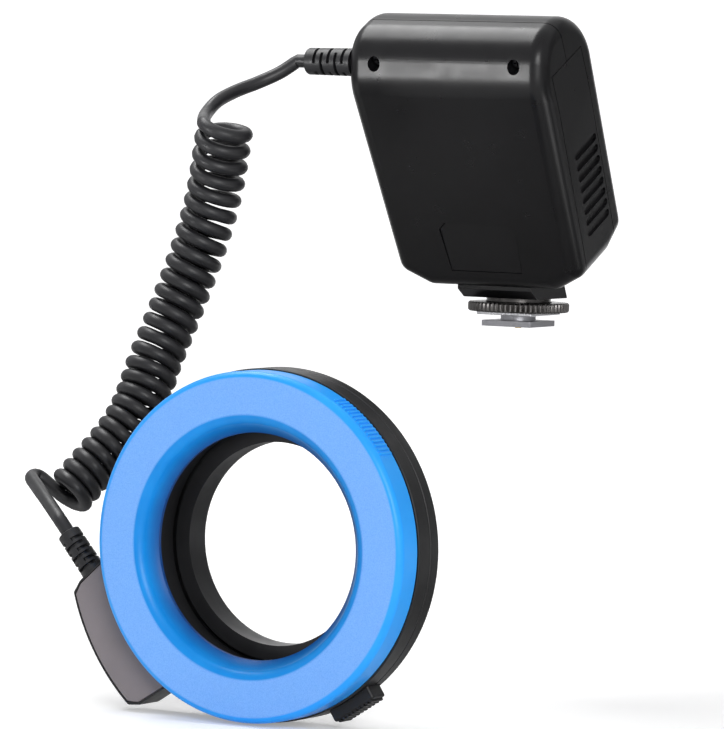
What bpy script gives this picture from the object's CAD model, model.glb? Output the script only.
"""Macro ring flash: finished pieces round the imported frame, with floor, studio light and camera."""
import math

import bmesh
import bpy
from mathutils import Matrix, Vector


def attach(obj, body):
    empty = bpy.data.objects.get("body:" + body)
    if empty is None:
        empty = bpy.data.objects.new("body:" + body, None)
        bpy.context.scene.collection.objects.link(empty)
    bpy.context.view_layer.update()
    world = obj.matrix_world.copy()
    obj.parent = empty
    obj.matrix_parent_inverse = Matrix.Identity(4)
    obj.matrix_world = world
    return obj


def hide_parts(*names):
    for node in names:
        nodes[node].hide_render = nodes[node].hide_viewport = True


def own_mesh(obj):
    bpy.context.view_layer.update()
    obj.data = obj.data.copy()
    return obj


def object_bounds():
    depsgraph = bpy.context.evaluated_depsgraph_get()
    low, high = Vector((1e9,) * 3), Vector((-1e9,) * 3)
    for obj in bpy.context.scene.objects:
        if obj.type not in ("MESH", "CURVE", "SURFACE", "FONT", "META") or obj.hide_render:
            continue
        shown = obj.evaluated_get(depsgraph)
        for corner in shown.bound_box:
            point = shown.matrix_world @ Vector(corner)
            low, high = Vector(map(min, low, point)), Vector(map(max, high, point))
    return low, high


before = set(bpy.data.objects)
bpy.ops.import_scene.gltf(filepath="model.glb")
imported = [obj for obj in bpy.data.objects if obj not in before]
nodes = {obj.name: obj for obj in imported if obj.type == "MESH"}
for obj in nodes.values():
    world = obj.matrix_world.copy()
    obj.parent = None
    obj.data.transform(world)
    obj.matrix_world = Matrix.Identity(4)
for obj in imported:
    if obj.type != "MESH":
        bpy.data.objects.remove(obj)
cad_box = [list(corner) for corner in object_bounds()]
scene = bpy.context.scene

# Sizes in millimetres, as in the part's source. On the leaning unit V runs backwards and U upwards; on the ring S runs
# backwards from its front.
LEAN_DEG = 27.5
FRONT_V, BACK_V, PARTING_V = -12.0, 25.0, 5.0
RISE, TOP_U, CORNER_U, REAR_RISE = 19.8, 113.0, 29.2, 2.5
TOP_HW, BASE_HW, CROWN_HW, UNDERSIDE_FLAT = 37.25, 35.15, 22.5, 23.0
EDGE_R, TOP_R, TOP_REAR_R, WALL = 5.5, 14.0, 19.5, 2.0
SIDE_TILT = math.atan((TOP_HW - BASE_HW) / (TOP_U - TOP_R - CORNER_U))
SLIDE_GAP, SEAT_GAP = 0.3, 0.15
SCREW_X, SCREW_U, SCREW_SEAT_V = 26.25, 104.5, -6.0
SCREW_HEAD_R, SCREW_BOSS_R, SCREW_SHANK_R = 2.3, 3.4, 1.35
BASE_SCREW_X, BASE_SCREW_V, BASE_PAD_U = 9.0, (FRONT_V + 9, FRONT_V + 21), RISE + WALL + 3
DOOR_V0, DOOR_V1, DOOR_TOP, BELOW = -6.3, 16.0, 69.8, 40.0
RUNNER_X0, RUNNER_X1, RUNNER_LAP, CONTACT_X = 2.2, 3.2, 1.3, 1.8
RELIEF_X, RELIEF_V, RELIEF_U, RELIEF_R, RELIEF_LEN = -37.325, -4.6, 101.7, 4.0, 17.5
PANEL_HW, PANEL_U0, PANEL_U1 = 27.5, 34.7, 92.0
BOARD_SCREW_X, BOARD_SCREW_U, BOARD_SCREW_V = 24.5, (PANEL_U0 + 5, PANEL_U1 - 4), 16.0
LCD_HW, LCD_U0, LCD_U1, LCD_LAP, UPPER_ROW_U, LOWER_ROW_U = 20.5, 64.5, 87.0, 1.5, 56.0, 44.5
READY_LAMP_X, READY_LAMP_R, KEY_GAP = 22.0, 1.65, 0.2
BUTTONS = {"mode": (0, UPPER_ROW_U, 4.2), "plus": (16, UPPER_ROW_U, 4.2), "minus": (-16, UPPER_ROW_U, 4.2),
           "power": (10, LOWER_ROW_U, 3.4), "test": (-10, LOWER_ROW_U, 3.4)}
RING_Y, RING_Z = -178.0, -64.0
DIFFUSER_R, APERTURE_R, DIFFUSER_D = 55.3, 35.8, 10.5
FLAT_R, BEVEL_W, BEVEL_D, SILL_D, RIM_S, LIP = 42.3, 3.9, 3.5, 2.2, 7.4, 2.5
HOUSING_R, BAND_S0, BAND_S1, COVER_S0, COVER_S1 = 55.8, 10.8, 18.2, 18.35, 24.15
HOUSING_IN, CHANNEL_IN, CHANNEL_OUT, CHANNEL_R, ADAPTER_R = 38.0, 39.8, 51.4, 53.2, 37.1
RELEASE_DEG, RELEASE_W, RELEASE_D, RELEASE_MID, RELEASE_TRAVEL = -57.0, 16.4, 8.0, 17.75, 1.6
SPRING_FLOOR, SPRING_TOP, SPRING_Y, SPRING_S = HOUSING_R - 2.9, HOUSING_R + 2, 5.5, RELEASE_MID - 1.5
CORD_R, CURL_R, CURL_COUNT, CURL_SPREAD = 2.25, 7.15, 27, 0.12
MM = 0.001


def by(x=0.0, y=0.0, z=0.0):
    return Matrix.Translation((x, y, z))


def rotation(degrees, axis):
    return Matrix.Rotation(math.radians(degrees), 4, axis)


TO_METRES = Matrix.Scale(MM, 4)
LEAN = TO_METRES @ rotation(LEAN_DEG, "X")
RING = TO_METRES @ by(0, RING_Y, RING_Z) @ rotation(-90, "X")
BESIDE = by(BASE_HW - EDGE_R, 0, CORNER_U) @ Matrix.Rotation(SIDE_TILT, 4, "Y")
AT_RELEASE = rotation(-RELEASE_DEG, "Z")
ALONG_V = rotation(-90, "X")
ALONG_X = rotation(90, "Y")
UPSIDE_DOWN = rotation(180, "X")


# Camera, at the photograph's place
def set_camera():
    azimuth, elevation, roll = (math.radians(a) for a in (29.419, 3.2, 1.4))
    away, shift_right, shift_up = 1.8692, 0.053053, 0.013118
    focal_px, photo_px, sensor_mm = 5500, 729, 36
    level = Vector((math.cos(azimuth), math.sin(azimuth), 0))
    ahead = Vector((-math.sin(azimuth) * math.cos(elevation), math.cos(azimuth) * math.cos(elevation),
                    -math.sin(elevation)))
    upward = level.cross(ahead)
    right = level * math.cos(roll) + upward * math.sin(roll)
    up = upward * math.cos(roll) - level * math.sin(roll)
    data = bpy.data.cameras.new("photo_camera")
    data.sensor_width = sensor_mm
    data.lens = focal_px * sensor_mm / photo_px
    data.clip_end = 20
    camera = bpy.data.objects.new("photo_camera", data)
    scene.collection.objects.link(camera)
    turn = Matrix((right, up, -ahead)).transposed().to_4x4()
    camera.matrix_world = by(*(-right * shift_right - up * shift_up - ahead * away)) @ turn
    scene.camera = camera


set_camera()


# Shapes, drawn in millimetres
def moved(bm, matrix):
    bm.transform(matrix)
    return bm


def box(low, high):
    bm = bmesh.new()
    bmesh.ops.create_cube(bm, size=1)
    size = Vector(high) - Vector(low)
    return moved(bm, by(*((Vector(low) + Vector(high)) / 2)) @ Matrix.Diagonal((*size, 1)))


def rod(radius, start, end, sides=48):
    """A round rod along Z."""
    bm = bmesh.new()
    bmesh.ops.create_cone(bm, cap_ends=True, segments=sides, radius1=radius, radius2=radius, depth=end - start)
    return moved(bm, by(0, 0, (start + end) / 2))


def rods_at(places, *size):
    """Rods of one size, each in its place."""
    return [moved(rod(*size), place) for place in places]


def skin(rings):
    """A closed form over rings of points, with a flat cap at each end."""
    bm = bmesh.new()
    made = [[bm.verts.new(point) for point in ring] for ring in rings]
    for here, there in zip(made, made[1:]):
        for k in range(len(here)):
            m = (k + 1) % len(here)
            bm.faces.new((here[k], here[m], there[m], there[k]))
    bm.faces.new(made[0][::-1])
    bm.faces.new(made[-1])
    bmesh.ops.recalc_face_normals(bm, faces=bm.faces)
    return bm


def prism(outline, start, end):
    """An outline in X and Y drawn out along Z."""
    return skin([[(x, y, z) for x, y in outline] for z in (start, end)])


def turned(profile, sides, radius_at=None):
    """A closed profile of radius and height turned about Z. radius_at may change a radius by its angle."""
    bm = bmesh.new()
    rings = []
    for i in range(sides):
        angle = 2 * math.pi * i / sides
        ring = []
        for radius, height in profile:
            r = radius_at(radius, angle) if radius_at else radius
            ring.append(bm.verts.new((r * math.cos(angle), r * math.sin(angle), height)))
        rings.append(ring)
    count = len(profile)
    for i in range(sides):
        here, there = rings[i], rings[(i + 1) % sides]
        for k in range(count):
            m = (k + 1) % count
            if profile[k][0] == 0 and profile[m][0] == 0:
                continue
            bm.faces.new((here[k], here[m], there[m], there[k]))
    bmesh.ops.remove_doubles(bm, verts=bm.verts, dist=1e-4)
    bmesh.ops.dissolve_degenerate(bm, edges=bm.edges, dist=1e-5)
    bmesh.ops.recalc_face_normals(bm, faces=bm.faces)
    return bm


def arc(centre, wide, high, from_deg, to_deg, steps):
    angles = [math.radians(from_deg + (to_deg - from_deg) * i / steps) for i in range(steps + 1)]
    return [(centre[0] + wide * math.cos(a), centre[1] + high * math.sin(a)) for a in angles]


def rounded(bm, chosen, radius, segments):
    """The shape with the chosen edges rounded."""
    bmesh.ops.bevel(bm, geom=[e for e in bm.edges if chosen(e)], offset=radius, segments=segments, profile=0.5,
                    affect="EDGES")
    return bm


def together(*shapes):
    whole = bmesh.new()
    for bm in shapes:
        mesh = bpy.data.meshes.new("part")
        bm.to_mesh(mesh)
        bm.free()
        whole.from_mesh(mesh)
        bpy.data.meshes.remove(mesh)
    return whole


def loose_object(bm, name="work"):
    mesh = bpy.data.meshes.new(name)
    bm.to_mesh(mesh)
    bm.free()
    thing = bpy.data.objects.new(name, mesh)
    scene.collection.objects.link(thing)
    return thing


def evaluated_mesh(thing):
    bpy.context.view_layer.update()
    graph = bpy.context.evaluated_depsgraph_get()
    return bpy.data.meshes.new_from_object(thing.evaluated_get(graph), depsgraph=graph)


def result_of(thing, *tools):
    """The shape that a thing's modifiers give. The thing and its tools are removed."""
    mesh = evaluated_mesh(thing)
    bm = bmesh.new()
    bm.from_mesh(mesh)
    bpy.data.meshes.remove(mesh)
    for spare in (thing, *tools):
        data = spare.data
        bpy.data.objects.remove(spare)
        bpy.data.meshes.remove(data)
    return bm


def combined(operation, bm, *others):
    """Exact cuts or joins of one shape with others, one after the other."""
    body = loose_object(bm)
    tools = [loose_object(other) for other in others]
    for tool in tools:
        modifier = body.modifiers.new("cut", "BOOLEAN")
        modifier.operation = operation
        modifier.solver = "EXACT"
        modifier.object = tool
    result = result_of(body, *tools)
    bmesh.ops.remove_doubles(result, verts=result.verts, dist=1e-4)
    bmesh.ops.dissolve_limit(result, angle_limit=math.radians(0.3), verts=result.verts, edges=result.edges)
    return result


def minus(bm, *others):
    return combined("DIFFERENCE", bm, *others)


def plus(bm, *others):
    return combined("UNION", bm, *others)


def within(bm, other):
    return combined("INTERSECT", bm, other)


def add_piece(name, bm, place, finishes, node, body="flash", sharp=32, bevel=0.0):
    """Puts a shape in its place, rounds its edges, and lets it ride on its body and stand for its node."""
    piece = loose_object(bm, name)
    piece.data.transform(place)
    for finish in finishes if isinstance(finishes, list) else [finishes]:
        piece.data.materials.append(finish)
    piece.data.shade_smooth()
    piece.data.set_sharp_from_angle(angle=math.radians(sharp))
    if bevel:
        edge = piece.modifiers.new("rounded_edges", "BEVEL")
        edge.width = bevel * MM
        edge.segments = 2
        edge.limit_method = "ANGLE"
        edge.angle_limit = math.radians(40)
        edge.harden_normals = False
    even = piece.modifiers.new("even_shading", "WEIGHTED_NORMAL")
    even.keep_sharp = True
    mesh, old = evaluated_mesh(piece), piece.data
    piece.modifiers.clear()
    piece.data = mesh
    mesh.name = name
    bpy.data.meshes.remove(old)
    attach(piece, body)
    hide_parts(node)
    return piece


def node_shape(node):
    """A CAD node's own shape in millimetres, with its triangles joined to whole faces."""
    bm = bmesh.new()
    bm.from_mesh(nodes[node].data)
    bm.transform(Matrix.Scale(1 / MM, 4))
    bmesh.ops.remove_doubles(bm, verts=bm.verts, dist=1e-3)
    bmesh.ops.dissolve_limit(bm, angle_limit=math.radians(0.5), verts=bm.verts, edges=bm.edges)
    for face in bm.faces:
        face.material_index = 0
    return bm


# Nodes, for the trees and the finishes
def set_inputs(tree, node, inputs):
    """Links each input to a socket, or sets it to a plain value."""
    for key, value in inputs.items():
        if isinstance(value, bpy.types.NodeSocket):
            tree.links.new(value, node.inputs[key])
        else:
            node.inputs[key].default_value = value


def add_node(tree, kind, inputs, **settings):
    node = tree.nodes.new(kind)
    for key, value in settings.items():
        setattr(node, key, value)
    set_inputs(tree, node, inputs)
    return node


def maths(tree, operation, *values):
    return add_node(tree, "ShaderNodeMath", dict(enumerate(values)), operation=operation).outputs[0]


def distance(tree, first, second):
    """The length of a step of first one way and second square to it."""
    squares = [maths(tree, "MULTIPLY", value, value) for value in (first, second)]
    return maths(tree, "SQRT", maths(tree, "ADD", *squares))


# Geometry Nodes trees for what repeats
def new_tree(name, *inputs):
    """A tree with named inputs, and the sockets that give them."""
    tree = bpy.data.node_groups.new(name, "GeometryNodeTree")
    for label, kind in (("Geometry", "Geometry"), *inputs, ("Finish", "Material")):
        tree.interface.new_socket(name=label, in_out="INPUT", socket_type="NodeSocket" + kind)
    tree.interface.new_socket(name="Geometry", in_out="OUTPUT", socket_type="NodeSocketGeometry")
    return tree, tree.nodes.new("NodeGroupInput").outputs


def end_tree(tree, given, shape):
    """Realises the copies and gives them their finish."""
    realised = add_node(tree, "GeometryNodeRealizeInstances", {0: shape}).outputs[0]
    painted = add_node(tree, "GeometryNodeSetMaterial", {"Geometry": realised, "Material": given["Finish"]}).outputs[0]
    add_node(tree, "NodeGroupOutput", {0: painted})
    return tree


def copies_tree(tree, given, place, **turn):
    """Ends a tree with a copy of what it is given at each place."""
    points = add_node(tree, "GeometryNodePoints", {"Count": given["Count"], "Position": place}).outputs[0]
    copies = add_node(tree, "GeometryNodeInstanceOnPoints",
                      {"Points": points, "Instance": given["Geometry"], **turn}).outputs[0]
    return end_tree(tree, given, copies)


def round_copies_tree():
    tree, given = new_tree("copies_round_an_axis", ("Count", "Int"), ("First angle", "Float"), ("Step angle", "Float"),
                           ("Radius", "Float"))
    index = tree.nodes.new("GeometryNodeInputIndex").outputs[0]
    angle = maths(tree, "ADD", maths(tree, "MULTIPLY", index, given["Step angle"]), given["First angle"])
    x, y = (maths(tree, "MULTIPLY", maths(tree, kind, angle), given["Radius"]) for kind in ("COSINE", "SINE"))
    place = add_node(tree, "ShaderNodeCombineXYZ", {0: x, 1: y}).outputs[0]
    euler = add_node(tree, "ShaderNodeCombineXYZ", {2: angle}).outputs[0]
    turn = add_node(tree, "FunctionNodeEulerToRotation", {0: euler}).outputs[0]
    return copies_tree(tree, given, place, Rotation=turn)


def row_copies_tree():
    tree, given = new_tree("copies_in_a_row", ("Count", "Int"), ("Step", "Vector"))
    index = tree.nodes.new("GeometryNodeInputIndex").outputs[0]
    place = add_node(tree, "ShaderNodeVectorMath", {0: given["Step"], "Scale": index}, operation="SCALE").outputs[0]
    return copies_tree(tree, given, place)


def coil_spring_tree():
    tree, given = new_tree("coil_spring", ("Turns", "Float"), ("Start radius", "Float"), ("End radius", "Float"),
                           ("Length", "Float"), ("Wire radius", "Float"))
    spiral = add_node(tree, "GeometryNodeCurveSpiral", {
        "Resolution": 20, "Rotations": given["Turns"], "Start Radius": given["Start radius"],
        "End Radius": given["End radius"], "Height": given["Length"]}).outputs[0]
    wire = add_node(tree, "GeometryNodeCurvePrimitiveCircle",
                    {"Resolution": 8, "Radius": given["Wire radius"]}).outputs[0]
    sweep = add_node(tree, "GeometryNodeCurveToMesh", {"Curve": spiral, "Profile Curve": wire, "Fill Caps": True})
    return end_tree(tree, given, sweep.outputs[0])


ROUND_COPIES = round_copies_tree()
ROW_COPIES = row_copies_tree()
COIL_SPRING = coil_spring_tree()


def grown(bm, tree, **values):
    """The shape that a tree makes of bm, with the tree's inputs set by name."""
    thing = loose_object(bm)
    modifier = thing.modifiers.new("grown", "NODES")
    modifier.node_group = tree
    for item in tree.interface.items_tree:
        label = item.name.lower().replace(" ", "_")
        if item.in_out == "INPUT" and label in values:
            modifier[item.identifier] = values[label]
    result = result_of(thing)
    for face in result.faces:
        face.material_index = 0
    return result


# Finishes
def node_finish(name):
    material = bpy.data.materials.new(name)
    material.use_nodes = True
    return material, material.node_tree, material.node_tree.nodes["Principled BSDF"]


def object_axes(tree):
    """X, Y and Z of the piece's own coordinates."""
    where = tree.nodes.new("ShaderNodeTexCoord").outputs["Object"]
    return add_node(tree, "ShaderNodeSeparateXYZ", {0: where}).outputs


def noise(tree, scale, detail, stretch=None):
    """Noise over the piece's own coordinates, in features per metre."""
    where = tree.nodes.new("ShaderNodeTexCoord").outputs["Object"]
    if stretch:
        where = add_node(tree, "ShaderNodeMapping", {"Vector": where, "Scale": stretch}).outputs[0]
    return add_node(tree, "ShaderNodeTexNoise", {"Vector": where, "Scale": scale, "Detail": detail}).outputs["Fac"]


def between(tree, value, low, high, from_low=0.3, from_high=0.7):
    return add_node(tree, "ShaderNodeMapRange", {"Value": value, "From Min": from_low, "From Max": from_high,
                                                 "To Min": low, "To Max": high}).outputs[0]


def mixed(tree, factor, first, second):
    """Two colours, plain or from sockets, mixed by a factor."""
    ends = {key: colour if isinstance(colour, bpy.types.NodeSocket) else (*colour, 1)
            for key, colour in (("A", first), ("B", second))}
    return add_node(tree, "ShaderNodeMix", {"Factor": factor, **ends}, data_type="RGBA").outputs["Result"]


def bump(tree, height, depth_mm, strength=1.0):
    return add_node(tree, "ShaderNodeBump", {"Strength": strength, "Distance": depth_mm * MM,
                                             "Height": height}).outputs[0]


def moulded(name, colour, rough, grain_mm, depth_mm, shade=0.75, metal=0.0, stretch=None, gloss=0.5):
    """Fine-grained moulded plastic or metal: two near tones, an uneven gloss and a small grain."""
    material, tree, shader = node_finish(name)
    cloud = between(tree, noise(tree, 60, 4), 0, 1)
    set_inputs(tree, shader, {
        "Base Color": mixed(tree, cloud, [c * shade for c in colour], colour),
        "Roughness": between(tree, noise(tree, 140, 5), *rough), "Metallic": metal, "Specular IOR Level": gloss,
        "Normal": bump(tree, noise(tree, 1 / (grain_mm * MM), 2, stretch), depth_mm)})
    return material


def frosted_blue():
    """Blue diffuser plastic: matt and paler on the flat front, deeper on bevels and walls, darkest down the bore."""
    material, tree, shader = node_finish("blue_diffuser")
    x, y, z = object_axes(tree)
    grain = noise(tree, 2400, 2)
    cloud = between(tree, noise(tree, 90, 3), 0, 1)
    front = between(tree, y, 1, 0, (RING_Y + 0.01) * MM, (RING_Y + 0.12) * MM)
    back = between(tree, y, 0, 1, (RING_Y + 2.4) * MM, (RING_Y + 6.4) * MM)
    radius = distance(tree, x, maths(tree, "SUBTRACT", z, RING_Z * MM))
    bore = between(tree, radius, 1, 0, 44 * MM, 45 * MM)
    rim = between(tree, radius, 0, 1, 50 * MM, 51 * MM)
    pale = mixed(tree, between(tree, grain, 0, 1), (0.15, 0.38, 0.88), (0.22, 0.47, 0.96))
    deep = mixed(tree, cloud, (0.006, 0.235, 0.68), (0.010, 0.27, 0.74))
    inner = mixed(tree, cloud, (0.001, 0.050, 0.22), (0.002, 0.062, 0.26))
    outer = mixed(tree, cloud, (0.020, 0.33, 0.92), (0.028, 0.36, 0.96))
    walls = mixed(tree, rim, mixed(tree, maths(tree, "MULTIPLY", bore, back), deep, inner), outer)
    height = maths(tree, "MULTIPLY", grain, between(tree, front, 0.12, 1.0, 0, 1))
    set_inputs(tree, shader, {
        "Base Color": mixed(tree, front, walls, pale), "Roughness": between(tree, front, 0.34, 0.62, 0, 1),
        "Specular IOR Level": 0.2, "Subsurface Weight": 0.12, "Subsurface Radius": (0.2, 0.6, 1.0),
        "Subsurface Scale": 0.0012, "Normal": bump(tree, height, 0.05, 0.8)})
    return material


def clear_finish(name, colour, rough):
    material, tree, shader = node_finish(name)
    set_inputs(tree, shader, {"Base Color": (*colour, 1), "Transmission Weight": 1.0, "IOR": 1.49,
                              "Roughness": between(tree, noise(tree, 300, 2), rough, rough + 0.05)})
    return material


CASING = moulded("casing_plastic", (0.0042, 0.0040, 0.0046), (0.27, 0.33), 0.45, 0.003, gloss=0.22)
RING_BLACK = moulded("ring_plastic", (0.0075, 0.0075, 0.0082), (0.40, 0.50), 0.35, 0.015, gloss=0.35)
DARK_PANEL = moulded("panel_plastic", (0.0044, 0.0042, 0.0048), (0.28, 0.34), 0.45, 0.003, gloss=0.22)
KEY_GREY = moulded("key_rubber", (0.045, 0.045, 0.048), (0.55, 0.66), 0.20, 0.010)
GREY_FACE = moulded("grey_face", (0.205, 0.182, 0.190), (0.52, 0.64), 0.40, 0.03, shade=0.85)
CORD_RUBBER = moulded("cord_rubber", (0.0105, 0.0105, 0.0120), (0.38, 0.50), 0.45, 0.015, gloss=0.34)
BRIGHT_STEEL = moulded("bright_steel", (0.60, 0.60, 0.62), (0.20, 0.34), 0.5, 0.004, 0.9, 1.0, (1, 12, 12))
BLACK_STEEL = moulded("black_steel", (0.055, 0.055, 0.058), (0.32, 0.45), 0.3, 0.006, 0.8, 1.0)
WHEEL_METAL = moulded("wheel_metal", (0.090, 0.086, 0.084), (0.22, 0.36), 0.4, 0.006, 0.8, 1.0)
FOOT_METAL = moulded("foot_metal", (0.34, 0.34, 0.36), (0.30, 0.44), 0.4, 0.006, 0.9, 1.0, (1, 10, 10))
ADAPTER_METAL = moulded("adapter_metal", (0.022, 0.022, 0.024), (0.34, 0.44), 0.25, 0.006, 0.8, 0.6)
CONTACT_BRASS = moulded("contact_brass", (0.78, 0.58, 0.26), (0.18, 0.30), 0.3, 0.003, 0.9, 1.0)
BOARD_GREEN = moulded("board_green", (0.020, 0.14, 0.055), (0.35, 0.5), 0.8, 0.01, 0.7)
BOARD_WHITE = moulded("board_white", (0.80, 0.81, 0.78), (0.45, 0.6), 0.6, 0.01, 0.95)
LAMP_BODY = moulded("lamp_body", (0.88, 0.84, 0.58), (0.12, 0.25), 0.8, 0.005, 0.92)
CELL_SLEEVE = moulded("cell_sleeve", (0.66, 0.44, 0.10), (0.22, 0.34), 1.2, 0.004, 0.9, 0.7)
DISPLAY = moulded("display_glass", (0.19, 0.235, 0.19), (0.10, 0.20), 0.4, 0.002, 0.94)
READY_LENS = moulded("ready_lens", (0.50, 0.015, 0.012), (0.08, 0.16), 0.6, 0.002, 0.9)
WINDOW_CLEAR = clear_finish("window_clear", (0.95, 0.97, 0.98), 0.05)
LCD_CLEAR = clear_finish("display_cover", (0.80, 0.84, 0.84), 0.03)
BLUE = frosted_blue()


# The curly cord
LEAD_OUT = [(-64.5, -54, 84), (-70, -59, 80.5), (-74, -66.5, 77.5), (-75.5, -76, 74), (-74, -86, 69.5)]
COIL_AXIS = [(-56.3, -102.5, 67.5), (-62.5, -98, 45), (-67.5, -98.5, 27), (-72.5, -102, 9), (-77, -108.5, -10),
             (-80.5, -118.5, -31), (-93.5, -136, -56)]
TAIL = [(-107, -131.5, -50.5), (-107, -136.5, -50.5), (-100.5, -143.5, -52.5), (-90, -153.5, -56)]


def smooth(points, steps):
    points = [Vector(p) for p in points]
    ends = [2 * points[0] - points[1], *points, 2 * points[-1] - points[-2]]
    line = []
    for i in range(len(points) - 1):
        a, b, c, d = ends[i:i + 4]
        for k in range(steps):
            t = k / steps
            line.append(0.5 * (2 * b + (c - a) * t + (2 * a - 5 * b + 4 * c - d) * t * t
                               + (3 * b - a - 3 * c + d) * t ** 3))
    return [*line, points[-1]]


def running_lengths(line):
    total = [0.0]
    for a, b in zip(line, line[1:]):
        total.append(total[-1] + (b - a).length)
    return total


def square_to(vector, along):
    return (vector - vector.dot(along) * along).normalized()


def polar(radius, degrees):
    return Vector((radius * math.cos(math.radians(degrees)), -radius * math.sin(math.radians(degrees))))


# The connector block, on the left of the ring, where the cord ends
CONN_R, CONN_S0, CONN_D, CONN_A0, CONN_A1 = 72.8, 10.2, 12.0, 195.5, 228.0
CONN_ROOT_A0, CONN_ROOT_A1, CONN_PLATE_T, CONN_RIM, CONN_WALL = 185.5, 235.0, 1.2, 0.7, 2.0
CONN_CORNER, CONN_CORNER_DEG = 3.0, 2.4
BLOCK_SCREW_R, BLOCK_SCREW_A0, BLOCK_SCREW_A1 = CONN_R - 4.5, CONN_A0 + 6, CONN_A1 - 4
RING_RELIEF_LEN, RELIEF_S = 16.0, 14.8
conn_end_out = polar(CONN_R - CONN_CORNER, CONN_A0 - CONN_CORNER_DEG)
conn_end_dir = (conn_end_out - polar(HOUSING_R, CONN_ROOT_A0)).normalized()
ring_relief_root = conn_end_out - conn_end_dir * RELIEF_R
ring_relief_axis = Vector((-conn_end_dir.y, conn_end_dir.x))


def curl_line(rings_per_curl):
    """Points of the curls, from the first to the last."""
    axis = smooth(COIL_AXIS, 10)
    run = running_lengths(axis)
    total, trim = CURL_COUNT * rings_per_curl, rings_per_curl // 8

    def on_axis(s):
        s = min(max(s, 0), run[-1])
        i = next(k for k in range(1, len(run)) if run[k] >= s - 1e-9)
        return axis[i - 1].lerp(axis[i], (s - run[i - 1]) / (run[i] - run[i - 1]))

    line = []
    for i in range(trim, total - trim + 1):
        share = i / total
        s = run[-1] * (share + CURL_SPREAD * share * (1 - share))
        along = (on_axis(s + 4) - on_axis(s - 4)).normalized()
        a = 2 * math.pi * i / rings_per_curl
        line.append(on_axis(s) + CURL_R * (math.cos(a) * square_to(Vector((-1, 0, 0)), along)
                                           + math.sin(a) * square_to(Vector((0, -1, 0)), along)))
    return line


def cord_route():
    relief_tip = rotation(LEAN_DEG, "X") @ Vector((RELIEF_X - RELIEF_LEN, RELIEF_V, RELIEF_U))
    tip = ring_relief_root + ring_relief_axis * RING_RELIEF_LEN
    ring_tip = Vector((tip.x, RELIEF_S + RING_Y, RING_Z - tip.y))
    ring_out = Vector((ring_relief_axis.x, 0, -ring_relief_axis.y))
    curls = curl_line(24)
    lead = smooth([relief_tip + Vector((-2 * CORD_R, 0, 0)), *LEAD_OUT, curls[0]], 6)
    tail = smooth([curls[-1], *TAIL, ring_tip + ring_out * 2 * CORD_R], 6)
    return [relief_tip, *lead, *curls[1:], *tail[1:], ring_tip]


def tube(line, radius, sides):
    """A closed tube along a line, its rings turned as little as they can be."""
    angles = [2 * math.pi * k / sides for k in range(sides)]
    across = Vector((0, 0, 1))
    rings = []
    for i, point in enumerate(line):
        along = (line[min(i + 1, len(line) - 1)] - line[max(i - 1, 0)]).normalized()
        across = square_to(across, along)
        other = along.cross(across)
        rings.append([point + radius * (math.cos(a) * across + math.sin(a) * other) for a in angles])
    return skin(rings)


route = cord_route()
cord = add_piece("curly_cord_tube", tube(route, CORD_R, 16), TO_METRES, CORD_RUBBER, "curly_cord",
                 sharp=60)


# Strain reliefs
def relief_shape(length, root_r, rows, neck):
    """A sleeve along Z with rows of slots on alternate sides and a rounded tip that closes round the cord."""
    sides, slot_w, slot_deep, slot_deg, edge, tip_r = 72, 1.1, 1.3, 130, 0.001, root_r - 0.2
    step = (length - 4) / rows
    levels = [(0.0, None)]
    for row in range(rows):
        low = 2 + row * step
        high = low + slot_w
        levels += [(low, None), (low + edge, row), (high - edge, row), (high, None)]
    levels.append((length - 0.5, None))

    def in_slot(row, degrees):
        return row is not None and abs((degrees - (row % 2) * 90 + 90) % 180 - 90) <= slot_deg / 2

    angles = [360 * k / sides for k in range(sides)]
    rings = [[(tip_r - slot_deep if in_slot(row, a) else root_r + (tip_r - root_r) * z / length, a, z) for a in angles]
             for z, row in levels]
    rings += [[(r, a, z) for a in angles]
              for r, z in ((tip_r - 0.15, length - 0.15), (tip_r - 0.5, length), (CORD_R, length))]
    bm = skin([[(r * math.cos(math.radians(a)), r * math.sin(math.radians(a)), z) for r, a, z in ring]
               for ring in rings])
    if neck:
        bm = together(bm, rod(RELIEF_R - 0.8, -neck, 0.05), rod(RELIEF_R + 0.1, -neck - 1.2, -neck))
    return bm


UPPER_RELIEF = LEAN @ by(RELIEF_X, RELIEF_V, RELIEF_U) @ rotation(-90, "Y")
LOWER_RELIEF = (RING @ by(*ring_relief_root, RELIEF_S)
                @ Matrix.Rotation(math.atan2(ring_relief_axis.y, ring_relief_axis.x), 4, "Z") @ ALONG_X)
add_piece("upper_relief_sleeve", relief_shape(RELIEF_LEN, RELIEF_R + 0.7, 5, 3.8), UPPER_RELIEF, CORD_RUBBER,
          "upper_strain_relief")
add_piece("lower_relief_sleeve", relief_shape(RING_RELIEF_LEN, RELIEF_R, 6, 0), LOWER_RELIEF, CORD_RUBBER,
          "lower_strain_relief")


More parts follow.
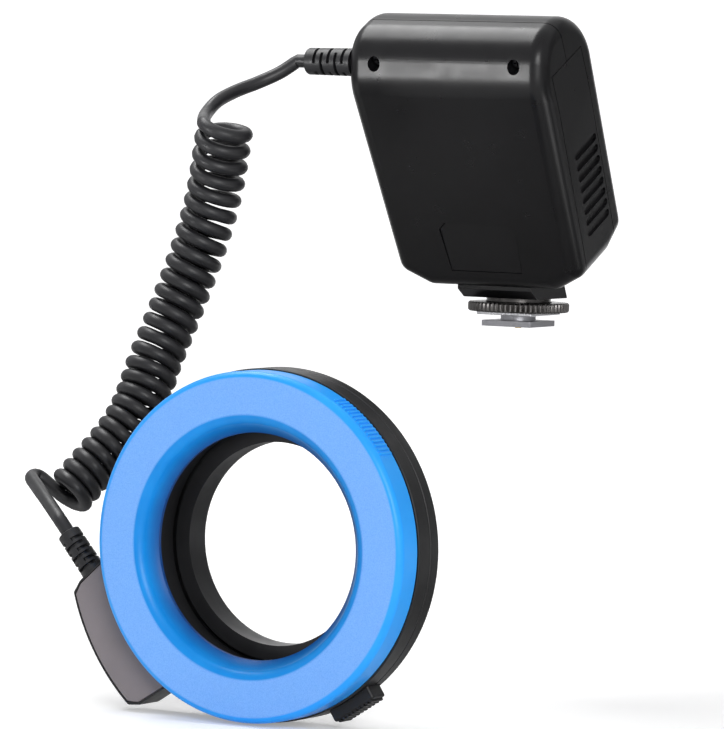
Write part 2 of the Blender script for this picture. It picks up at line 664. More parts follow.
# Control unit
def casing_form(inset):
    """The casing's rounded form, drawn in by inset."""
    ball, top_turns, top_lifts, ball_turns, ball_lifts = EDGE_R - inset, 96, 16, 48, 24
    points = []
    for side in (-1, 1):
        for v, top_r in ((FRONT_V + TOP_R, TOP_R), (BACK_V - TOP_REAR_R, TOP_REAR_R)):
            for i in range(top_turns + 1):
                turn = 2 * math.pi * i / top_turns
                for k in range(top_lifts + 1):
                    lift = math.pi * k / top_lifts
                    r = top_r - EDGE_R + ball * math.cos(lift)
                    if r < 0:
                        continue
                    points.append((side * (TOP_HW - EDGE_R + ball * math.sin(lift)), v + r * math.cos(turn),
                                   TOP_U - top_r + r * math.sin(turn)))
        corners = [(CROWN_HW, FRONT_V + EDGE_R, RISE + EDGE_R), (BASE_HW - EDGE_R, FRONT_V + EDGE_R, CORNER_U),
                   (BASE_HW - EDGE_R, FRONT_V + UNDERSIDE_FLAT, CORNER_U),
                   (BASE_HW - EDGE_R, BACK_V - EDGE_R, CORNER_U + REAR_RISE)]
        for x, v, u in corners:
            for i in range(ball_turns):
                turn = 2 * math.pi * i / ball_turns
                for k in range(ball_lifts + 1):
                    lift = math.pi * k / ball_lifts
                    points.append((side * x + ball * math.sin(lift) * math.cos(turn),
                                   v + ball * math.sin(lift) * math.sin(turn), u + ball * math.cos(lift)))
    bm = bmesh.new()
    for p in points:
        bm.verts.new(p)
    bmesh.ops.remove_doubles(bm, verts=bm.verts, dist=1e-3)
    hull = bmesh.ops.convex_hull(bm, input=bm.verts, use_existing_faces=False)
    spare = [e for e in hull["geom_interior"] + hull["geom_unused"] if isinstance(e, bmesh.types.BMVert)]
    bmesh.ops.delete(bm, geom=list(set(spare)), context="VERTS")
    bmesh.ops.dissolve_limit(bm, angle_limit=math.radians(0.2), verts=bm.verts, edges=bm.edges)
    bmesh.ops.recalc_face_normals(bm, faces=bm.faces)
    return bm


def backwards(x, v, u):
    """The place of a shape drawn along Z that runs backwards from a point of the leaning unit."""
    return by(x, v, u) @ ALONG_V


def both_screws(v):
    return [backwards(x, v, SCREW_U) for x in (-SCREW_X, SCREW_X)]


def slab(v0, v1):
    return box((-60, v0, 0), (60, v1, 130))


def plate(outline, v0, v1):
    """A plate of the unit, from v0 to v1."""
    return moved(prism(outline, -v1, -v0), rotation(90, "X"))


def seam_groove():
    """What a fine groove round the parting line takes away."""
    return minus(slab(PARTING_V - 0.16, PARTING_V + 0.16), casing_form(0.45))


def door_openings():
    inner = box((CONTACT_X - SLIDE_GAP, DOOR_V0 - RUNNER_LAP - SLIDE_GAP, -BELOW),
                (EDGE_R - WALL - 0.02, DOOR_V1 + RUNNER_LAP + SLIDE_GAP, DOOR_TOP + SLIDE_GAP))
    outer = box((CONTACT_X, DOOR_V0 - SLIDE_GAP, -BELOW), (BELOW, DOOR_V1 + SLIDE_GAP, DOOR_TOP + SLIDE_GAP))
    return moved(inner, BESIDE), moved(outer, BESIDE)


def front_plate_outline(grow):
    half, low, tall, taper, chamfer = 14.5 + grow, RISE + 7.7 - grow, 18.5 + 2 * grow, 1.2, 2.6
    high = low + tall
    return [(-half + taper, low), (half - taper, low), (half, high - chamfer), (half - chamfer, high),
            (-half + chamfer, high), (-half, high - chamfer)]


def base_screw_places():
    return [by(x, v) for x in (-BASE_SCREW_X, BASE_SCREW_X) for v in BASE_SCREW_V]


def unit_cavity():
    return minus(casing_form(WALL), *rods_at(base_screw_places(), 3, RISE - 2, BASE_PAD_U))


def base_screw_bores():
    """Bores of the screws that hold the base, with the seats of the two rear heads."""
    rear = [by(x, BASE_SCREW_V[1]) for x in (-BASE_SCREW_X, BASE_SCREW_X)]
    return [*rods_at(base_screw_places(), SCREW_SHANK_R, BASE_PAD_U - 8, BASE_PAD_U + 1, 24),
            *rods_at(rear, 2.25, BASE_PAD_U, BASE_PAD_U + 2.8, 32)]


def make_front_shell():
    shell = within(casing_form(0), slab(FRONT_V - 2, PARTING_V))
    holes = rods_at(both_screws(FRONT_V), SCREW_HEAD_R, -5, SCREW_SEAT_V - FRONT_V)
    bosses = rods_at(both_screws(FRONT_V), SCREW_BOSS_R, 1, PARTING_V - FRONT_V)
    shanks = rods_at(both_screws(FRONT_V), SCREW_SHANK_R, 0, 30)
    mouth = moved(rod(3.3, RELIEF_X - 3, RELIEF_X + 9.4), by(0, RELIEF_V, RELIEF_U) @ ALONG_X)
    seat = plate(front_plate_outline(0.06), FRONT_V - 1, FRONT_V + 0.9)
    return minus(shell, minus(unit_cavity(), *bosses), *door_openings(), *holes, *shanks, seat, mouth, seam_groove(),
                 *base_screw_bores())


def rounded_outline(half, u0, u1, corner):
    outline = []
    for cx, cu, start in ((half - corner, u0 + corner, -90), (half - corner, u1 - corner, 0),
                          (-half + corner, u1 - corner, 90), (-half + corner, u0 + corner, 180)):
        outline += arc((cx, cu), corner, corner, start, start + 90, 6)
    return outline


def make_rear_shell():
    shell = within(casing_form(0), slab(PARTING_V, BACK_V + 2))
    bosses = rods_at(both_screws(PARTING_V), SCREW_BOSS_R, 0, BACK_V - PARTING_V - 1)
    posts = rods_at([backwards(x, BACK_V - 6.2, u) for x in (-BOARD_SCREW_X, BOARD_SCREW_X) for u in BOARD_SCREW_U],
                    2.4, 0, 5)
    holes = rods_at(both_screws(PARTING_V), 1.2, -1, 9.5)
    keys = [moved(rod(r + KEY_GAP, -6, 2), backwards(x, BACK_V, u)) for x, u, r in BUTTONS.values()]
    lamp = moved(rod(READY_LAMP_R, -6, 2), backwards(READY_LAMP_X, BACK_V, LOWER_ROW_U))
    seat = plate(rounded_outline(PANEL_HW + SEAT_GAP, PANEL_U0 - SEAT_GAP, PANEL_U1 + SEAT_GAP, 3), BACK_V - 1,
                 BACK_V + 1)
    window = box((-LCD_HW + LCD_LAP, BACK_V - 3, LCD_U0 + LCD_LAP), (LCD_HW - LCD_LAP, BACK_V + 1, LCD_U1 - LCD_LAP))
    return minus(shell, minus(unit_cavity(), *bosses, *posts), *door_openings(), *holes, seat, window, *keys, lamp,
                 seam_groove(), *base_screw_bores())


def grip_slot():
    """One grip slot of the door, with rounded ends."""
    v0, v1, middle, half, deep = DOOR_V0 + 4.6, DOOR_V1 - 0.9, 8.7, 1.3, 0.7
    outline = [*arc((v1 - half, middle), half, half, -90, 90, 8), *arc((v0 + half, middle), half, half, 90, 270, 8)]
    outwards = Matrix(((0, 0, 1, 0), (1, 0, 0, 0), (0, 1, 0, 0), (0, 0, 0, 1)))
    return moved(prism(outline, EDGE_R - deep, EDGE_R + 1), outwards)


def make_door():
    face = box((RUNNER_X1 - 0.1, DOOR_V0, -BELOW), (BELOW, DOOR_V1, DOOR_TOP))
    runners = box((RUNNER_X0, DOOR_V0 - RUNNER_LAP, -BELOW), (RUNNER_X1, DOOR_V1 + RUNNER_LAP, DOOR_TOP - SLIDE_GAP))
    slots = grown(grip_slot(), ROW_COPIES, count=8, step=(0, 0, 4.1), finish=CASING)
    return minus(within(casing_form(0), moved(plus(face, runners), BESIDE)), moved(slots, BESIDE))


def key_shape(radius):
    proud, flange, soft = BACK_V + 1, BACK_V - 3.4, 0.5
    return turned([(0, flange - 1.1), (1.2, flange - 1.1), (1.2, flange), (radius + 0.9, flange),
                   (radius + 0.9, flange + 1), (radius, flange + 1),
                   *arc((radius - soft, proud - soft), soft, soft, 0, 90, 4),
                   (radius * 0.55, proud - 0.12), (0, proud - 0.22)], 64)


add_piece("casing_front", make_front_shell(), LEAN, CASING, "front_shell", sharp=28)
add_piece("casing_rear", make_rear_shell(), LEAN, CASING, "rear_shell", sharp=28)
add_piece("battery_door_grip", make_door(), LEAN, CASING, "battery_door", "door", sharp=28, bevel=0.18)
add_piece("front_cover_plate", plate(front_plate_outline(0), FRONT_V + 0.02, FRONT_V + 0.9), LEAN, DARK_PANEL,
          "front_panel", bevel=0.2)
for key, (key_x, key_u, key_r) in BUTTONS.items():
    add_piece(key + "_key_cap", moved(key_shape(key_r), backwards(key_x, 0, key_u)), LEAN, KEY_GREY,
              key + "_button", key + "_key")


# Refined copies of plain rigid pieces
for node, finish, body, slot, width in (
        ("control_panel", DARK_PANEL, "flash", "dark_panel", 0.25),
        ("lcd_window", LCD_CLEAR, "flash", "clear", 0.2),
        ("base_block", CASING, "flash", "casing", 0.7),
        ("shoe_foot", FOOT_METAL, "flash", "foot_metal", 0.3),
        ("clamp_plate", BRIGHT_STEEL, "clamp", "steel", 0.25),
        ("foot_stem", WHEEL_METAL, "flash", "wheel_metal", 0.25),
        ("battery_tray", DARK_PANEL, "flash", "dark_panel", 0.3),
        ("indicator_lamp", READY_LENS, "flash", "ready_light", 0.3)):
    add_piece(node + "_finished", node_shape(node), TO_METRES, finish, node, body, bevel=width)

for node, finish in (("door_contacts", BRIGHT_STEEL), ("main_board", BOARD_GREEN), ("button_switches", DARK_PANEL),
                     ("lcd_module", DISPLAY), ("trigger_pin", CONTACT_BRASS), ("led_board", BOARD_WHITE),
                     ("clear_window", WINDOW_CLEAR), ("latch_plate", BLACK_STEEL)):
    nodes[node].data.materials.clear()
    nodes[node].data.materials.append(finish)


# Screws: radius and height of the head, radius and length of the thread
SHELL_SCREW = (2.1, 1.8, 1.15, 19.0)
BOARD_SCREW = (1.85, 1.2, 0.9, 5.3)
BASE_SCREW = (2.1, 1.8, 1.15, 7.5)
FOOT_SCREW, FOOT_SCREW_AT = (1.4, 1.0, 0.75, 12.7), 3.2
COVER_SCREW = (1.9, 1.1, 0.95, 7.8)
BLOCK_SCREW = (1.8, 1.0, 0.85, 9.4)


def screw(head_r, head_h, thread_r, thread_len):
    """A screw along Z, the top of its head at 0, with a cross recess and the crests of its thread."""
    pitch, root, end = 0.8, thread_r - 0.15, head_h + thread_len
    crests = []
    for i in range(int((thread_len - 1.4) / pitch)):
        z = head_h + 0.4 + i * pitch
        crests += [(root, z), (thread_r, z + 0.3), (thread_r, z + 0.4), (root, z + 0.7)]
    body = turned([(0, 0), (head_r - 0.5, 0), (head_r - 0.15, 0.15), (head_r, 0.5), (head_r, head_h), (root, head_h),
                   *crests, (root, end - 0.6), (root * 0.5, end), (0, end)], 28)
    arm, half, deep = 0.62 * head_r, 0.15 * head_r, 0.6 * head_h
    return minus(body, box((-arm, -half, -1), (arm, half, deep)), box((-half, -arm, -1), (half, arm, deep)))


def screw_grid(size, finish, wide, long):
    """Four screws at the corners of a rectangle."""
    pair = grown(screw(*size), ROW_COPIES, count=2, step=(wide, 0, 0), finish=finish)
    return grown(pair, ROW_COPIES, count=2, step=(0, long, 0), finish=finish)


shell_pair = grown(screw(*SHELL_SCREW), ROW_COPIES, count=2, step=(2 * SCREW_X, 0, 0), finish=BLACK_STEEL)
add_piece("shell_screw_pair", moved(shell_pair, backwards(-SCREW_X, SCREW_SEAT_V - SHELL_SCREW[1], SCREW_U)), LEAN,
          BLACK_STEEL, "shell_screws")
board_four = screw_grid(BOARD_SCREW, BRIGHT_STEEL, 2 * BOARD_SCREW_X, BOARD_SCREW_U[0] - BOARD_SCREW_U[1])
add_piece("board_screw_set", moved(board_four, backwards(-BOARD_SCREW_X, BOARD_SCREW_V, BOARD_SCREW_U[0])), LEAN,
          BRIGHT_STEEL, "board_screws")
base_four = screw_grid(BASE_SCREW, BRIGHT_STEEL, 2 * BASE_SCREW_X, BASE_SCREW_V[0] - BASE_SCREW_V[1])
BASE_SCREW_CORNER = by(-BASE_SCREW_X, BASE_SCREW_V[0], BASE_PAD_U + BASE_SCREW[1]) @ UPSIDE_DOWN
add_piece("base_screw_set", moved(base_four, BASE_SCREW_CORNER), LEAN, BRIGHT_STEEL, "base_screws")
foot_four = screw_grid(FOOT_SCREW, BRIGHT_STEEL, 2 * FOOT_SCREW_AT, 2 * FOOT_SCREW_AT)
add_piece("foot_screw_set", moved(foot_four, by(-FOOT_SCREW_AT, -FOOT_SCREW_AT, 0.1)), TO_METRES, BRIGHT_STEEL,
          "foot_screws")


# Springs and cells
def coil(turns, first_r, last_r, length, wire):
    """A coil spring along Z, standing on 0."""
    bm = grown(bmesh.new(), COIL_SPRING, turns=float(turns), start_radius=first_r - wire, end_radius=last_r - wire,
               length=length - 2 * wire, wire_radius=wire, finish=BRIGHT_STEEL)
    bmesh.ops.recalc_face_normals(bm, faces=bm.faces)
    return moved(bm, by(0, 0, wire))


def cell():
    """One cell along Z: a plain sleeve with steel ends and a nub."""
    bm = turned([(0, 0.25), (4.6, 0.25), (5.2, 0), (6.2, 0), (6.8, 0.25), (7.1, 0.7), (7.1, 48.7), (6.8, 49.2),
                 (6.2, 49.5), (5.4, 49.3), (3.4, 49.3), (2.75, 49.5), (2.75, 50.2), (2.5, 50.5), (0, 50.5)], 48)
    for face in bm.faces:
        face.material_index = 1 if face.calc_center_median().xy.length < 6 else 0
    return bm


CELL_V, CELL_Z, CELL_STEP, CELL_X0, CELL_COUNT = -0.8, 14.7, 15.0, -49.0, 4
cells = [moved(cell(), BESIDE @ by(CELL_X0, CELL_V, CELL_Z + CELL_STEP * i) @ ALONG_X) for i in range(CELL_COUNT)]
add_piece("battery_cells", together(*cells), LEAN, [CELL_SLEEVE, BRIGHT_STEEL], "aa_cells")
tray_coils = grown(coil(3.5, 4.5, 2.5, 3.4, 0.35), ROW_COPIES, count=CELL_COUNT, step=(-CELL_STEP, 0, 0),
                   finish=BRIGHT_STEEL)
add_piece("tray_springs", moved(tray_coils, BESIDE @ by(CELL_X0 - 3.5, CELL_V, CELL_Z) @ ALONG_X), LEAN, BRIGHT_STEEL,
          "battery_springs", sharp=60)
PIN_SPRING_Z, PIN_SPRING_LEN, PIN_TRAVEL = 2.45, 1.95, 0.6
pin_coil = add_piece("pin_coil_spring", moved(coil(3, 1.65, 1.65, PIN_SPRING_LEN, 0.2), by(0, 0, PIN_SPRING_Z)),
                     TO_METRES, BRIGHT_STEEL, "pin_spring", sharp=60)
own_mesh(pin_coil)


# Locking wheel
def make_wheel():
    """A knurled wheel with rounded teeth, drawn as one turned form."""
    r, low, high, teeth, deep, bore, seat_r, seat_deep, soft = 17.2, 5.0, 8.2, 60, 0.6, 7.3, 11.4, 1.4, 0.5

    def knurl(radius, angle):
        if radius <= seat_r:
            return radius
        wave = 0.5 + 0.5 * math.cos(teeth * angle)
        return radius - deep * (1 - min(1, wave * 1.6))

    return turned([(bore, low), (r - soft, low), (r, low + soft), (r, high - soft), (r - soft, high), (seat_r, high),
                   (seat_r, high - seat_deep), (bore, high - seat_deep)], teeth * 8, knurl)


add_piece("locking_wheel", make_wheel(), TO_METRES, WHEEL_METAL, "lock_wheel", "wheel", sharp=35)


# Ring head
def make_diffuser():
    thick, inner, sill = 1.6, DIFFUSER_R - 1.8, BEVEL_D + SILL_D
    cap = turned([(APERTURE_R, RIM_S), (APERTURE_R, sill + 0.4), (APERTURE_R + 0.4, sill),
                  (FLAT_R - BEVEL_W - 0.9, BEVEL_D + 0.9), *arc((FLAT_R, BEVEL_D), BEVEL_W, BEVEL_D, 193, 270, 13),
                  *arc((DIFFUSER_R - LIP, LIP), LIP, LIP, 270, 360, 12), (DIFFUSER_R, DIFFUSER_D - 0.3),
                  (DIFFUSER_R - 0.3, DIFFUSER_D), (inner, DIFFUSER_D), (inner, LIP + 0.5), (inner - LIP + 0.6, thick),
                  *arc((FLAT_R, sill), BEVEL_W - thick, sill - thick, 270, 180, 10),
                  (APERTURE_R + thick, RIM_S - 0.4), (APERTURE_R + thick, RIM_S)], 288)
    bar = rounded(box((-0.3, -0.4, LIP + 0.4), (0.5, 0.4, DIFFUSER_D - 0.8)),
                  lambda e: all(v.co.x > 0 for v in e.verts), 0.25, 2)
    ridges = [grown(bar.copy(), ROUND_COPIES, count=16, first_angle=math.radians(-start),
                    step_angle=math.radians(-1.6), radius=DIFFUSER_R, finish=BLUE) for start in (35, 215)]
    bar.free()
    return together(cap, *ridges)


def release_pocket():
    """The pocket of the release button in the ring's edge."""
    half_w, half_d, outside = RELEASE_W / 2 + SLIDE_GAP, RELEASE_D / 2 + SLIDE_GAP, 72
    return moved(box((SPRING_FLOOR, -half_w, RELEASE_MID - half_d), (outside, half_w, RELEASE_MID + half_d)),
                 AT_RELEASE)


def make_housing():
    window, window_t, ledge, floor_s, soft = 9.0, 1.4, 1, BAND_S1 - 1.6, 0.4
    body = turned([(HOUSING_IN, RIM_S), (CHANNEL_IN, RIM_S), (CHANNEL_IN, window), (CHANNEL_IN + ledge, window),
                   (CHANNEL_IN + ledge, window + window_t), (CHANNEL_IN, window + window_t), (CHANNEL_IN, floor_s),
                   (CHANNEL_OUT, floor_s), (CHANNEL_OUT, window + window_t), (CHANNEL_OUT - ledge, window + window_t),
                   (CHANNEL_OUT - ledge, window), (CHANNEL_OUT, window), (CHANNEL_OUT, LIP + 0.5),
                   (CHANNEL_R, LIP + 0.5), (CHANNEL_R, BAND_S0),
                   *arc((HOUSING_R - soft, BAND_S0 + soft), soft, soft, -90, 0, 4),
                   *arc((HOUSING_R - soft, BAND_S1 - soft), soft, soft, 0, 90, 4), (HOUSING_IN, BAND_S1)], 240)
    return minus(body, release_pocket())


COVER_SCREW_TURNS = [math.radians(-(RELEASE_DEG + a)) for a in (40, 130, -130, -40)]
COVER_SCREW_AT = HOUSING_R - 6.6


def make_cover():
    hole, plate_s, wall, soft, back_soft = ADAPTER_R + 0.3, COVER_S1 - 1.6, 1.8, 0.4, 1.5
    body = turned([(hole, plate_s), (hole, COVER_S1),
                   *arc((HOUSING_R - back_soft, COVER_S1 - back_soft), back_soft, back_soft, 90, 0, 6),
                   *arc((HOUSING_R - soft, COVER_S0 + soft), soft, soft, 0, -90, 4), (HOUSING_R - wall, COVER_S0),
                   (HOUSING_R - wall, plate_s)], 240)
    places = [by(COVER_SCREW_AT * math.cos(a), COVER_SCREW_AT * math.sin(a)) for a in COVER_SCREW_TURNS]
    slot_r0, slot_r1, slot_half, slot_s0, slot_s1 = 40, 64, 7.3, 19.3, 21.4
    latch_slot = moved(box((slot_r0, -slot_half, slot_s0), (slot_r1, slot_half, slot_s1)), AT_RELEASE)
    return minus(plus(body, *rods_at(places, 2.4, COVER_S0, plate_s + 0.1, 32)),
                 *rods_at(places, 1.1, COVER_S0 - 1, COVER_S1 + 1, 24),
                 *rods_at(places, 2.0, COVER_S1 - 1.2, COVER_S1 + 3, 32), release_pocket(), latch_slot)


def make_adapter():
    """The lens adapter with the crests of its thread."""
    bore, front, body, groove, flange = 32.2, 18.75, ADAPTER_R, ADAPTER_R - 2, ADAPTER_R + 1.6
    s1, thread_s, thread_r, pitch, crest_count = COVER_S1 + 0.3, COVER_S1 + 1.5, 33.5, 0.72, 4
    root, end, groove_s0, groove_s1 = thread_r - 0.4, thread_s + 3, 19.35, 21.35
    crests = []
    for i in range(crest_count):
        s = thread_s + 0.1 + i * pitch
        crests += [(root, s), (thread_r, s + 0.28), (thread_r, s + 0.40), (root, s + 0.68)]
    return turned([(bore, front), (body, front), (body, groove_s0), (groove, groove_s0), (groove, groove_s1),
                   (body, groove_s1), (body, s1), (flange - 0.2, s1), (flange, s1 + 0.2), (flange, thread_s - 0.3),
                   (flange - 0.3, thread_s), (root, thread_s), *crests, (root, end), (bore + 0.2, end),
                   (bore, end - 0.2)], 240)


def make_lamps():
    count, inset, lamp_s = 24, 3.2, 9.2
    dome = turned([(0, 0), (0.7, 0.06), (1.2, 0.4), (1.55, 1.0), (1.8, 1.25), (1.8, 2.8), (0, 2.8)], 12)
    rows = [grown(dome.copy(), ROUND_COPIES, count=count, first_angle=start, step_angle=2 * math.pi / count, radius=r,
                  finish=LAMP_BODY)
            for r, start in ((CHANNEL_IN + inset, 0.0), (CHANNEL_OUT - inset, math.pi / count))]
    dome.free()
    return moved(together(*rows), by(0, 0, lamp_s))


def connector_outline(inset):
    turn = inset * 360 / (2 * math.pi * CONN_R)
    a0, a1 = CONN_A0 + turn, CONN_A1 - turn
    root_a0, root_a1 = CONN_ROOT_A0 + 1.6 * turn, CONN_ROOT_A1 - 1.6 * turn
    corner = CONN_R - CONN_CORNER - inset / 2
    return [*[polar(CONN_R - inset, a0 + (a1 - a0) * i / 16) for i in range(17)], polar(corner, a1 + CONN_CORNER_DEG),
            *[polar(HOUSING_R + SEAT_GAP + inset, root_a1 + (root_a0 - root_a1) * i / 12) for i in range(13)],
            polar(corner, a0 - CONN_CORNER_DEG)]


def make_block():
    back = CONN_S0 + CONN_D
    block = rounded(prism(connector_outline(0), CONN_S0, back),
                    lambda e: (all(v.co.xy.length > HOUSING_R + 1 for v in e.verts)
                               and e.calc_face_angle(0) > math.radians(35)), 0.55, 3)
    hollow = prism(connector_outline(CONN_WALL), CONN_S0 - 1, back - CONN_WALL)
    recess = prism(connector_outline(CONN_RIM), CONN_S0 - 1, CONN_S0 + CONN_PLATE_T)
    places = [by(*polar(BLOCK_SCREW_R, a)) for a in (BLOCK_SCREW_A0, BLOCK_SCREW_A1)]
    bosses = rods_at(places, 2.2, CONN_S0 + CONN_PLATE_T, back - 1.9, 24)
    return minus(plus(minus(block, hollow, recess), *bosses), *rods_at(places, 1.9, back - 1.1, back + 3, 24),
                 *rods_at(places, 0.9, CONN_S0, back + 1, 24))


def make_release():
    """The release button: a rounded block with ribs across its top."""
    foot, top, rib_h, count = HOUSING_R - 1, HOUSING_R + 4.2, 0.7, 9
    half_w, half_d, step = RELEASE_W / 2, RELEASE_D / 2, (RELEASE_W - 2) / count
    block = rounded(box((foot, -half_w, -half_d), (top - rib_h, half_w, half_d)),
                    lambda e: (all(v.co.x > foot + 1 for v in e.verts)
                               or abs(e.verts[0].co.x - e.verts[1].co.x) > 1), 0.8, 3)
    rib = rounded(box((top - rib_h - 0.6, -0.3 * step, -half_d + 0.35), (top, 0.3 * step, half_d - 0.35)),
                  lambda e: all(v.co.x > top - 0.1 for v in e.verts), 0.28, 3)
    ribs = grown(moved(rib, by(0, (0.5 - count / 2) * step)), ROW_COPIES, count=count, step=(0, step, 0),
                 finish=RING_BLACK)
    holes = rods_at([by(0, y, SPRING_S - RELEASE_MID) @ ALONG_X for y in (-SPRING_Y, SPRING_Y)], 1.7, foot - 1,
                    SPRING_TOP)
    return moved(together(minus(block, *holes), ribs), AT_RELEASE @ by(0, 0, RELEASE_MID))


add_piece("diffuser_cap", make_diffuser(), RING, BLUE, "colour_diffuser", "diffuser", sharp=40)
add_piece("ring_housing", make_housing(), RING, RING_BLACK, "front_housing")
add_piece("ring_cover", make_cover(), RING, RING_BLACK, "rear_cover")
add_piece("lens_adapter", make_adapter(), RING, ADAPTER_METAL, "adapter_ring", "adapter", sharp=25)
add_piece("ring_lamps", make_lamps(), RING, LAMP_BODY, "leds", sharp=50)
add_piece("cord_block", make_block(), RING, RING_BLACK, "connector_block")
add_piece("cord_block_face", prism(connector_outline(CONN_RIM + SEAT_GAP), CONN_S0, CONN_S0 + CONN_PLATE_T), RING,
          GREY_FACE, "block_face", bevel=0.25)
add_piece("release_key", make_release(), RING, RING_BLACK, "release_button", "latch")

cover_pairs = [grown(moved(screw(*COVER_SCREW), UPSIDE_DOWN), ROUND_COPIES, count=2, first_angle=COVER_SCREW_TURNS[i],
                     step_angle=math.radians(-90), radius=COVER_SCREW_AT, finish=BLACK_STEEL) for i in (0, 2)]
add_piece("cover_screw_set", moved(together(*cover_pairs), by(0, 0, COVER_S1 - 0.1)), RING, BLACK_STEEL,
          "rear_cover_screws")
block_pair = grown(moved(screw(*BLOCK_SCREW), UPSIDE_DOWN), ROUND_COPIES, count=2,
                   first_angle=math.radians(-BLOCK_SCREW_A0), step_angle=math.radians(BLOCK_SCREW_A0 - BLOCK_SCREW_A1),
                   radius=BLOCK_SCREW_R, finish=BLACK_STEEL)
add_piece("block_screw_pair", moved(block_pair, by(0, 0, CONN_S0 + CONN_D - 0.1)), RING, BLACK_STEEL,
          "block_screws")
spring_pair = grown(coil(5, 1.5, 1.5, SPRING_TOP - SPRING_FLOOR, 0.25), ROW_COPIES, count=2,
                    step=(0, 2 * SPRING_Y, 0), finish=BRIGHT_STEEL)
SPRING_PLACE = AT_RELEASE @ by(SPRING_FLOOR, -SPRING_Y, SPRING_S) @ ALONG_X
release_coils = add_piece("release_springs", moved(spring_pair, SPRING_PLACE), RING, BRIGHT_STEEL,
                          "button_springs", sharp=60)
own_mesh(release_coils)


# Floor, light and world, in metres
def floor_paper():
    """Pale paper that is white to the camera and through glass. In reflections it is dimmer close to the object."""
    material, tree, shader = node_finish("studio_paper")
    tree.nodes.remove(shader)
    rays = tree.nodes.new("ShaderNodeLightPath").outputs
    axes = object_axes(tree)
    across, along, in_gloss = axes["X"], axes["Y"], rays["Is Glossy Ray"]
    middle, dim_to, bright_from, aside_x, aside_y = 0.05, 0.13, 0.24, 0.871, 0.491
    clear_of = between(tree, maths(tree, "ABSOLUTE", maths(tree, "SUBTRACT", along, middle)), 0, 1, dim_to, bright_from)
    shaded = maths(tree, "MULTIPLY", in_gloss, maths(tree, "SUBTRACT", 1, clear_of))
    paper = add_node(tree, "ShaderNodeBsdfDiffuse", {"Color": mixed(tree, shaded, [0.84] * 3, [0.30] * 3)})
    seen = maths(tree, "MAXIMUM", rays["Is Camera Ray"], rays["Is Transmission Ray"])
    direct = maths(tree, "MULTIPLY", seen, between(tree, distance(tree, across, along), 0.30, 0.80, 0.25, 1.3))
    lift = between(tree, along, 0.30, 0.78, 0.0, 1.4)
    beside = maths(tree, "ADD", maths(tree, "MULTIPLY", across, aside_x), maths(tree, "MULTIPLY", along, aside_y))
    fade = between(tree, maths(tree, "ABSOLUTE", beside), 1, 0, 0.7, 1.6)
    mirrored = maths(tree, "MULTIPLY", in_gloss, maths(tree, "MULTIPLY", clear_of, maths(tree, "MULTIPLY", lift, fade)))
    glow = add_node(tree, "ShaderNodeEmission", {"Color": (1, 1, 1, 1),
                                                 "Strength": maths(tree, "MAXIMUM", direct, mirrored)})
    front = add_node(tree, "ShaderNodeAddShader", {0: paper.outputs[0], 1: glow.outputs[0]})
    clear = tree.nodes.new("ShaderNodeBsdfTransparent")
    behind = tree.nodes.new("ShaderNodeNewGeometry").outputs["Backfacing"]
    facing = add_node(tree, "ShaderNodeMixShader", {0: behind, 1: front.outputs[0], 2: clear.outputs[0]})
    set_inputs(tree, tree.nodes["Material Output"], {"Surface": facing.outputs[0]})
    return material


def set_floor():
    """A floor that curves up into a backdrop, clear from behind."""
    low = cad_box[0][2] - 0.0005
    wide, near, bend, far, high, curve_r = 6.0, -6.0, 1.6, 2.4, 3.0, 0.8
    line = [(near, low), *arc((bend, low + curve_r), curve_r, curve_r, -90, 0, 12), (far, high)]
    bm = bmesh.new()
    rows = [[bm.verts.new((x, y, z)) for x in (-wide, wide)] for y, z in line]
    for here, there in zip(rows, rows[1:]):
        bm.faces.new((here[0], here[1], there[1], there[0]))
    floor = loose_object(bm, "studio_floor")
    floor.data.shade_smooth()
    floor.data.materials.append(floor_paper())


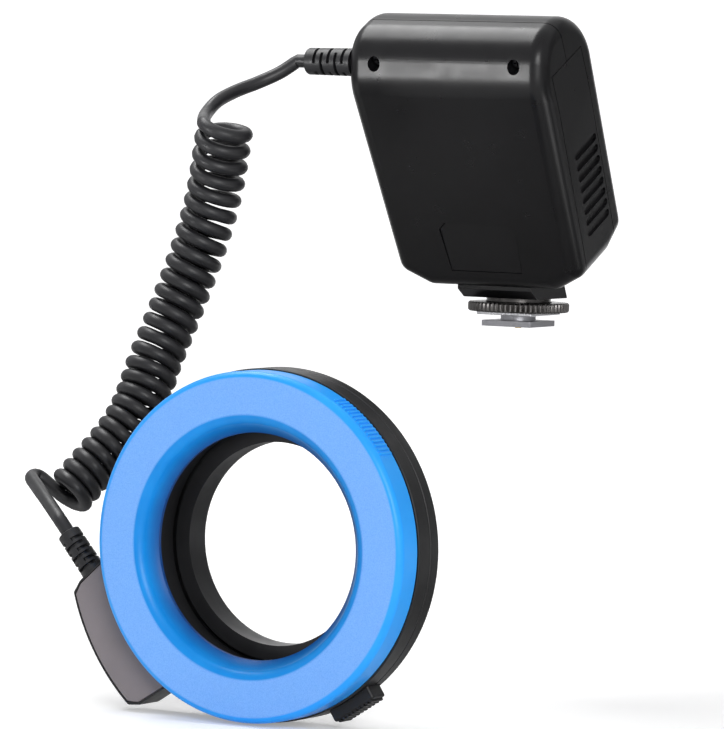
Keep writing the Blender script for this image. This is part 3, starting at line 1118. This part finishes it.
def set_flag():
    """A grey card that only reflections see, for the unit's side to mirror."""
    half, away, start, towards = 0.45, 1.2, Vector((0.037, 0, 0.05)), Vector((0.49, 0.87, -0.05))
    bm = bmesh.new()
    bmesh.ops.create_grid(bm, x_segments=1, y_segments=1, size=half)
    bm.transform(by(*(start + away * towards)) @ towards.to_track_quat("Z", "Y").to_matrix().to_4x4())
    flag = loose_object(bm, "studio_flag")
    flag.data.materials.append(moulded("flag_cloth", (0.28, 0.28, 0.28), (0.8, 0.9), 2.0, 0.05))
    for kind in ("camera", "diffuse", "transmission", "volume_scatter", "shadow"):
        setattr(flag, "visible_" + kind, False)


def softbox(name, place, target, wide, high, power, spread=180):
    data = bpy.data.lights.new(name, "AREA")
    data.shape = "RECTANGLE"
    data.size, data.size_y, data.energy = wide, high, power
    data.spread = math.radians(spread)
    lamp = bpy.data.objects.new(name, data)
    lamp.visible_camera = False
    lamp.location = place
    lamp.rotation_euler = (Vector(target) - Vector(place)).to_track_quat("-Z", "Y").to_euler()
    scene.collection.objects.link(lamp)


def set_world():
    """A plain even light, white where it is seen directly, through glass or in reflections."""
    world = bpy.data.worlds.new("studio")
    world.use_nodes = True
    tree = world.node_tree
    rays = tree.nodes.new("ShaderNodeLightPath").outputs
    seen = maths(tree, "MAXIMUM", rays["Is Camera Ray"], rays["Is Transmission Ray"])
    seen = maths(tree, "MAXIMUM", seen, rays["Is Glossy Ray"])
    set_inputs(tree, tree.nodes["Background"], {"Color": (0.9, 0.9, 0.92, 1),
                                                "Strength": between(tree, seen, 0.35, 1.1, 0, 1)})
    scene.world = world


set_floor()
set_flag()
softbox("top_softbox", (-0.58, 0.0, 1.05), (0, -0.05, 0.09), 0.95, 0.4, 12)
softbox("front_softbox", (1.2, -1.5, 0.5), (0, -0.12, 0), 0.8, 0.8, 24)
softbox("edge_strip", (-0.182, -0.390, 0.046), (0, -0.058, 0.088), 0.26, 0.035, 0.036, 24)
softbox("right_strip", (0.281, -0.066, -0.083), (0.037, -0.05, 0.05), 0.14, 0.07, 0.012, 50)
set_world()
scene.view_settings.view_transform = "Standard"
